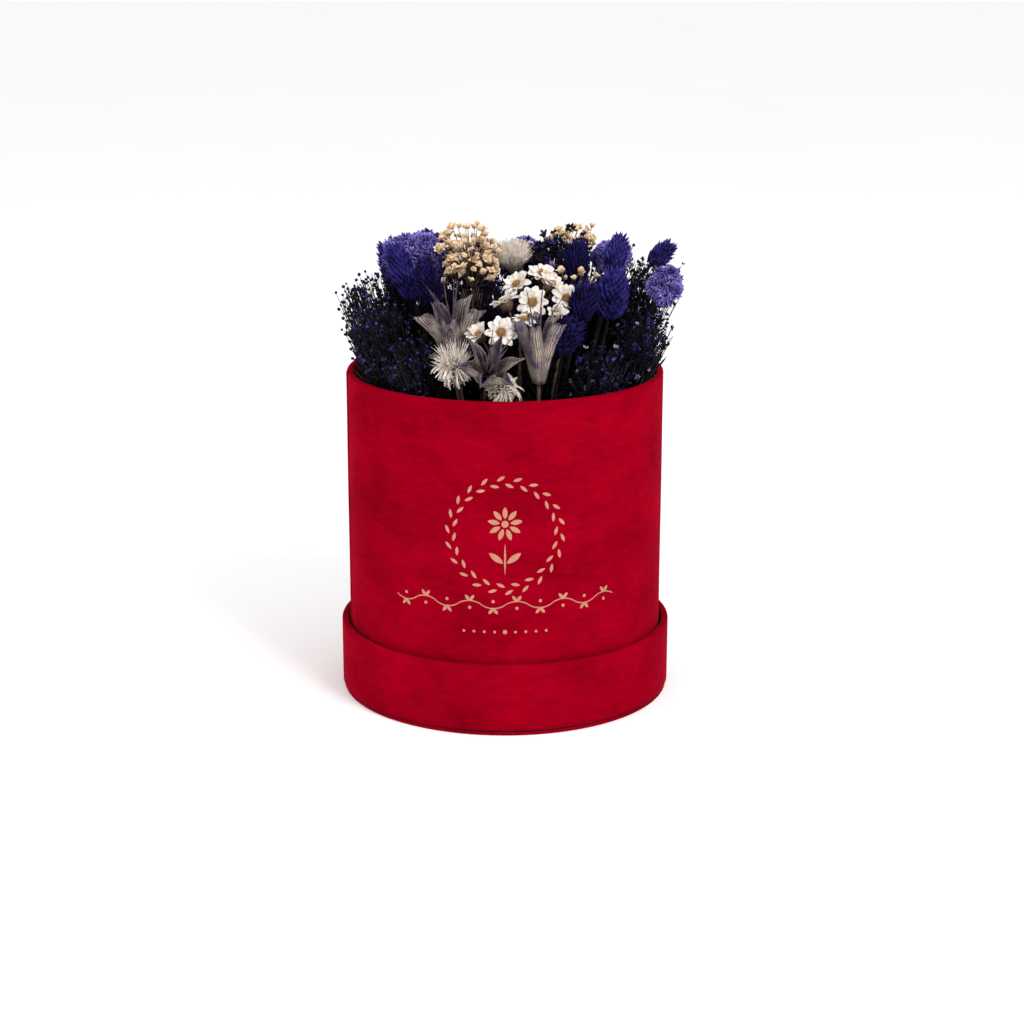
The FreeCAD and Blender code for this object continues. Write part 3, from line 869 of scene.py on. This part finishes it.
# ---- Daisies ------------------------------------------------------------------------------
# Small everlasting daisies: two rows of broad papery petals round a domed ochre middle, over
# a grey-brown cup of scales, each on its own wiry stem.
petal_white, tree, shader = new_material("petal_white", 0.7, 0.25)
veins = fine_noise(tree, 700, 5)
tint = tinted(tree, contrast(tree, veins, 0.3, 0.7), (0.55, 0.48, 0.43), (0.82, 0.77, 0.72))
tree.links.new(tint, shader.inputs["Base Color"])
roughen(tree, shader, veins, 0.15 * MM)
ochre_middle = dyed("ochre_middle", (0.3, 0.15, 0.045), (0.5, 0.27, 0.09), (0.2, 0.09, 0.03), 900)
cup_scale = dyed("cup_scale", (0.11, 0.075, 0.05), (0.26, 0.185, 0.13), (0.05, 0.033, 0.024), 500)


def broad(share):
    """A rounded petal on a narrower claw."""
    if share < 0.6:
        return 0.5 + 0.5 * share / 0.6
    return math.sqrt(1 - 0.88 * ((share - 0.6) / 0.4) ** 2)


petals = [small_blade(6.2, 3.5, broad, random.uniform(0.1, 0.5), curl, across=4, rows=5)
          for curl in (-0.5, -0.2, 0.1, 0.35)]
seed_grain = small_strand([(0, 0, -0.2), (0, 0, 0.25), (0, 0, 0.5)], [0.26, 0.26, 0.1], 4, 1)
cup_leaf = small_blade(3.2, 1.9, lambda share: math.sin(math.pi * (0.25 + 0.7 * share)),
                       -0.3, 0.5, across=2, rows=3, thickness=0.1, material=2)


def ball_shape(size, drop, material):
    """A ball with those radii (across, deep, tall) in mm, moved down by drop."""
    bm = bmesh.new()
    for vert in bmesh.ops.create_icosphere(bm, subdivisions=2, radius=1)["verts"]:
        height = vert.co.z * size[2] - drop
        vert.co = Vector((vert.co.x * size[0], vert.co.y * size[1], height)) * MM
    return small_shape(bm, material)


daisy_middle = ball_shape((2.0, 2.0, 1.3), -0.2, 1)
daisy_cup = ball_shape((2.7, 2.7, 3.0), 2.4, 2)


def daisy(bm, direction, foot, place, nod, open_up, size):
    """One flower; open_up is how far its petals stand up, in degrees."""
    nod = Vector(nod).normalized()
    stalk(bm, direction, foot, place - nod * 5 * MM * size, nod, 0.5 * MM, 3, 1.5 * MM)
    seat = facing(place, nod, random.uniform(0, 6)) @ Matrix.Scale(size, 4)
    for row, (count, tilt, reach) in enumerate(((9, open_up, 1.0), (9, open_up + 20, 0.84))):
        for index in range(count):
            turn = 2 * math.pi * (index + 0.5 * row) / count + random.uniform(-0.12, 0.12)
            pitch = math.radians(tilt + random.uniform(-9, 9))
            put(bm, random.choice(petals), [
                seat @ turned("Z", turn) @ Matrix.Translation((0, 1.6 * MM, 0))
                @ turned("X", pitch)
                @ turned("Y", random.uniform(-0.2, 0.2))
                @ Matrix.Scale(reach * random.uniform(0.92, 1.06), 4)])
    put(bm, daisy_middle, [seat])
    put(bm, daisy_cup, [seat])
    grains = []
    for index in range(80):
        out = math.sqrt((index + 0.5) / 80)
        turn = index * GOLDEN
        up = 1.3 * math.sqrt(1 - 0.95 * out * out) + 0.2
        spot = Vector((2.0 * out * math.cos(turn), 2.0 * out * math.sin(turn), up)) * MM
        grains.append(seat @ facing(spot, (spot.x, spot.y, 2.0 * MM)))
    put(bm, seed_grain, grains)
    leaves = []
    for index in range(36):
        share = (index + 0.5) / 36
        out = 2.8 * math.sin(math.pi * (0.18 + 0.42 * share))
        leaves.append(seat @ turned("Z", index * GOLDEN)
                      @ Matrix.Translation((0, out * MM, (-5.2 + 3.6 * share) * MM))
                      @ turned("X", math.radians(62 + 14 * share)))
    put(bm, cup_leaf, leaves)


def daisy_bunch(name, node, looks):
    """A bunch of daisies; looks gives each flower's bearing in the box, nod, opening, size."""
    bm = bmesh.new()
    for direction, foot, tip in stems(node):
        bearing = math.degrees(math.atan2(direction.y, direction.x)) % 360
        lean = math.degrees(math.acos(direction.z))
        look = min(looks, key=lambda row: abs(row[0] - bearing) + abs(row[1] - lean))
        daisy(bm, direction, foot, direction * (tip - 4.5 * MM), *look[2:])
    materials = [petal_white, ochre_middle, cup_scale, tan_stem]
    finish_piece(bm, name, materials, "box", node, slot="daisy")


random.seed(13)
daisy_bunch("daisy_flowers_front", "daisies_front", [
    # bearing and lean of the stem in degrees, nod, opening, size
    (268, 15.9, (0.1, -0.95, 0.35), 8, 0.97),
    (280, 14.4, (0.1, -0.2, 0.97), -22, 0.9),
    (256, 15.2, (-0.45, -0.5, 0.75), 40, 0.85),
])
daisy_bunch("daisy_flowers_middle", "daisies_middle", [
    (310, 7.3, (0.08, -0.5, 0.87), 5, 0.92),
    (288, 11.7, (-0.08, -0.93, 0.36), 3, 1.0),
    (308, 12.9, (0.25, -0.85, 0.5), 10, 0.93),
    (270, 10.4, (-0.4, 0.1, 0.92), 6, 0.95),
    (306, 10.2, (0.5, -0.2, 0.85), 10, 0.9),
    (282, 7.3, (-0.5, -0.5, 0.7), 15, 0.95),
    (298, 14.4, (0.2, -0.6, 0.6), 55, 0.8),
])
daisy_bunch("daisy_flowers_back", "daisies_back", [
    (74, 7.9, (0.1, 0.6, 0.9), 8, 1.0),
    (106, 7.9, (-0.2, 0.7, 0.8), 4, 1.0),
    (109, 17.1, (-0.1, 0.9, 0.5), 8, 1.05),
])


# ---- Tan sprays ---------------------------------------------------------------------------
# Sprays of small straw-coloured everlastings: forked tan stalks, each ending in a crumpled
# star of pointed papery petals or in a rounder flower that is still closed.
straw = dyed("straw_floret", (0.58, 0.4, 0.24), (0.9, 0.72, 0.5), (0.4, 0.25, 0.14), 420, 0.75)


def crumpled_star(petal_count, length, width, open_up):
    """A floret of pointed petals that curl unevenly, about 5 mm across."""
    bm = bmesh.new()
    for index in range(petal_count):
        petal = small_blade(length, width, lambda share: math.sin(math.pi * (0.2 + 0.76 * share)),
                            random.uniform(0.4, 1.1), random.uniform(-0.9, 0.9), rows=3,
                            thickness=0.15)
        turn = 2 * math.pi * index / petal_count + random.uniform(-0.3, 0.3)
        pitch = math.radians(open_up + random.uniform(-16, 16))
        put(bm, petal, [turned("Z", turn) @ turned("X", pitch)])
    return small_shape(bm)


random.seed(16)
stars = [crumpled_star(5, 2.9, 2.4, opening) for opening in (20, 38, 52, 64)]
round_ones = [crumpled_star(8, 3.8, 3.8, opening) for opening in (48, 66)]
stick = small_strand([(0, 0, 0), (0.012, 0, 0.5), (0, 0, 1)], [1, 0.9, 0.75], 3)
for vert in stick.vertices:
    vert.co = vert.co / MM


def between(start, end, radius):
    """The place that stretches a stick of unit length and radius from start to end."""
    scale = Matrix.Diagonal((radius, radius, (end - start).length, 1))
    return facing(start, end - start, random.uniform(0, 6)) @ scale


def near(point, reach):
    """A point up to that far from it along each axis."""
    return point + Vector([random.uniform(-reach, reach) for _ in range(3)])


def tan_spray(name, node, shift, size, florets, round_share, nod=(0, -0.2, 1)):
    """Florets over a dome of that size (across, deep, tall) in mm; shift moves it from the tip."""
    direction, foot, tip = stems(node)[0]
    size = Vector(size) * 0.5 * MM
    middle = direction * tip + Vector(shift) * MM
    fork = middle - direction * (size.z + 16 * MM)
    bm = bmesh.new()
    stalk(bm, direction, foot, fork, direction, 0.8 * MM, 1)
    sticks = []
    tips = []
    for point in on_dome(florets, 0.55):
        shell = random.uniform(0.55, 1.1)
        tips.append(near(middle + stretched(point, size) * shell, 1.0 * MM))
    joints = [near(fork + (tips[index] - fork) * 0.5, 1.5 * MM)
              for index in range(0, florets, 6)]
    for joint in joints:
        knee = near(fork + (joint - fork) * 0.5, 0.8 * MM)
        sticks += [between(fork, knee, 0.34 * MM), between(knee, joint, 0.3 * MM)]
    for point in tips:
        joint = min(joints, key=lambda spot: (spot - point).length)
        knee = near(joint + (point - joint) * 0.6, 0.7 * MM)
        sticks += [between(joint, knee, 0.26 * MM), between(knee, point, 0.22 * MM)]
        kinds = round_ones if random.random() < round_share else stars
        toward = (point - fork).normalized() + Vector(nod) * 0.4
        put(bm, random.choice(kinds), [facing(point, near(toward, 1.1), random.uniform(0, 6))
                                       @ Matrix.Scale(random.uniform(0.7, 1.0), 4)])
    shape = stick.copy()
    for face in shape.polygons:
        face.material_index = 1
    put(bm, shape, sticks)
    finish_piece(bm, name, [straw, tan_stem], "box", node, slot="tan_spray")


tan_spray("straw_spray_1", "tan_spray_1", (-3, 0, -18), (31, 25, 33), 96, 0.45)
tan_spray("straw_spray_2", "tan_spray_2", (1, 0, -13), (25, 18, 18), 46, 0.45)
tan_spray("straw_spray_3", "tan_spray_3", (2, 0, -3), (30, 10, 12), 14, 0.3)
tan_spray("straw_spray_4", "tan_spray_4", (0, 0, -10), (24, 22, 22), 50, 0.3)


# ---- Filler sprays ------------------------------------------------------------------------
# Black-dyed broom bloom fills the rest: each spray is a fan of hair-thin twigs that fork and
# end in round buds, or on the right in small ragged florets, with painted violet glints here and
# there.
twig_black = dyed("twig_black", (0.0015, 0.001, 0.002), (0.016, 0.01, 0.013),
                  (0.0015, 0.001, 0.0025), 160, 0.7, 0.12)
bud_black, tree, shader = new_material("bud_black", 0.55, 0.1)
# Painted highlights: sparse violet patches in the colour stand in for glints on the black buds.
glint = fine_noise(tree, 300, 3)
painted_glint = contrast(tree, glint, 0.54, 0.68)
tint = tinted(tree, painted_glint, (0.0022, 0.0014, 0.005), (0.05, 0.036, 0.23))
tree.links.new(tint, shader.inputs["Base Color"])
roughen(tree, shader, glint, 0.3 * MM)
pale_bud = dyed("pale_bud", (0.12, 0.09, 0.16), (0.4, 0.33, 0.36), (0.06, 0.045, 0.09), 500)
fifth_turn = 1.257
random.seed(17)


def bud_shape(material):
    """A round bud, a little taller than it is wide."""
    bm = bmesh.new()
    bmesh.ops.create_uvsphere(bm, u_segments=6, v_segments=3, radius=1.1 * MM,
                              matrix=Matrix.Diagonal((1, 1, 1.15, 1)))
    along = bm.verts.layers.float.new("along")
    for vert in bm.verts:
        vert[along] = 0.5 + vert.co.z / (2.4 * MM)
    return small_shape(bm, material)


def ragged_star(material):
    """A floret of five pointed petals that droop unevenly, about 4 mm across."""
    bm = bmesh.new()
    for index in range(5):
        droop = random.uniform(-0.3, 0.4)
        petal = small_strand([(0, 0, 0), (0, 0.2, 1.0), (0, droop, 1.9)], [0.3, 0.6, 0], 3)
        put(bm, petal, [turned("Z", index * fifth_turn)
                        @ turned("X", random.uniform(-1.3, -0.5))])
    return small_shape(bm, material)


black_stick = stick.copy()
leaflet_length = 13.0
leaflet = small_strand([(0, 0, 0), (0, 0.5, 4.5), (0, -0.2, 9.5), (0, 0.4, leaflet_length)],
                       [0.2, 0.75, 0.6, 0], 3)
bud = bud_shape(1)
dark_star = ragged_star(1)
pale_star = ragged_star(2)


def inside_mouth(point):
    """The point, moved in over the mouth where it would hang outside the rim."""
    spare = point.z - rim_level
    room = mouth_radius + max(0, spare) * 0.45
    out = point.xy.length
    if spare < 16 * MM and out > room:
        point.xy *= room / out
    return point


def filler_spray(name, node, shift, twigs, spread, star_share, bud_size):
    """A fan of twigs; spread is its radius at the top, shift moves its top, both in mm."""
    direction, foot, tip = stems(node)[0]
    seat = facing(Vector(), direction)
    shift = Vector(shift) * MM
    length = tip - foot
    low = foot + 0.3 * length
    bm = bmesh.new()
    stalk(bm, direction, foot, direction * (low + 8 * MM), direction, 0.9 * MM, 0)
    sticks = []
    leaves = []
    buds = {0: [], 1: [], 2: []}
    for index in range(twigs):
        turn = index * GOLDEN
        share = math.sqrt((index + 0.5) / twigs)
        out = spread * MM * share
        top = tip - random.uniform(0, 5) * MM - (share ** 3) * random.uniform(4, 16) * MM
        if random.random() < 0.4:
            top -= random.uniform(0.05, 0.4) * length
        across = Vector((math.cos(turn), math.sin(turn), 0))
        start = seat @ (across * 0.3 * out + Vector((0, 0, low)))
        bend = seat @ (across * 0.7 * out + Vector((0, 0, low + 0.45 * (top - low)))) + shift * 0.4
        end = inside_mouth(near(seat @ (across * out + Vector((0, 0, top))) + shift, 1.5 * MM))
        path = interpolate_bezier(start, start + (bend - start) * 0.7, bend, end, 6)
        sticks += [between(a, b, 0.24 * MM) for a, b in zip(path, path[1:])]
        heading = (path[-1] - path[-3]).normalized()
        for _ in range(8):
            joint = path[-1] - (path[-1] - path[-4]) * random.uniform(0, 1)
            knob = inside_mouth(joint + near(heading, 0.7) * random.uniform(2, 5) * MM)
            sticks.append(between(joint, knob, 0.15 * MM))
            kind = 0
            if random.random() < star_share:
                kind = 1 if random.random() < 0.95 else 2
            buds[kind].append(facing(knob, near(heading, 1), random.uniform(0, 6))
                              @ Matrix.Scale(bud_size * random.uniform(0.55, 1.0), 4))
        for _ in range(16):
            spot = path[0] + (path[-2] - path[0]) * random.uniform(0, 0.9)
            spot = near(spot, 2.5 * MM)
            lean = near(heading, 0.5)
            turn = random.uniform(0, 6)
            scale = random.uniform(0.6, 1)
            end = spot + lean.normalized() * leaflet_length * MM
            if end.z > rim_level + 4 * MM or end.xy.length < mouth_radius - 2 * MM:
                leaves.append(facing(spot, lean, turn) @ Matrix.Scale(scale, 4))
    put(bm, black_stick, sticks)
    put(bm, leaflet, leaves)
    for kind, shape in enumerate((bud, dark_star, pale_star)):
        put(bm, shape, buds[kind])
    finish_piece(bm, name, [twig_black, bud_black, pale_bud], "box", node, slot="filler_spray",
                 smooth=False)


rim_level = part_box("box_wall_velvet")[1][2]
mouth_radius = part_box("box_floor_board")[1][0] - 2 * MM
sprays = [
    # shift of the top, number of twigs, radius at the top, share of florets, size of the buds
    ((0, 2, 9), 160, 15, 0.0, 0.85),
    ((0, 0, 6), 150, 15, 0.05, 0.85),
    ((-1, 0, 2), 100, 14, 0.15, 0.85),
    ((12, -15, 6), 110, 13, 0.3, 0.9),
    ((0, 0, 2), 84, 17, 0.1, 1.0),
    ((0, 0, 0), 76, 16, 0.3, 1.0),
    ((0, 0, 4), 84, 16, 0.5, 1.0),
    ((-2, -2, 6), 120, 17, 0.6, 1.0),
    ((1, -2, 9), 100, 14, 0.75, 1.0),
    ((0, 0, 0), 90, 14, 0.8, 1.0),
    ((0, 0, 0), 84, 13, 0.8, 1.0),
    ((0, -4, -2), 100, 17, 0.05, 1.1),
    ((7, 0, 1), 130, 15, 0.9, 1.5),
    ((-13, 0, 12), 110, 16, 0.3, 1.0),
]
for number, spray in enumerate(sprays, 1):
    filler_spray(f"filler_twigs_{number}", f"filler_spray_{number}", *spray)
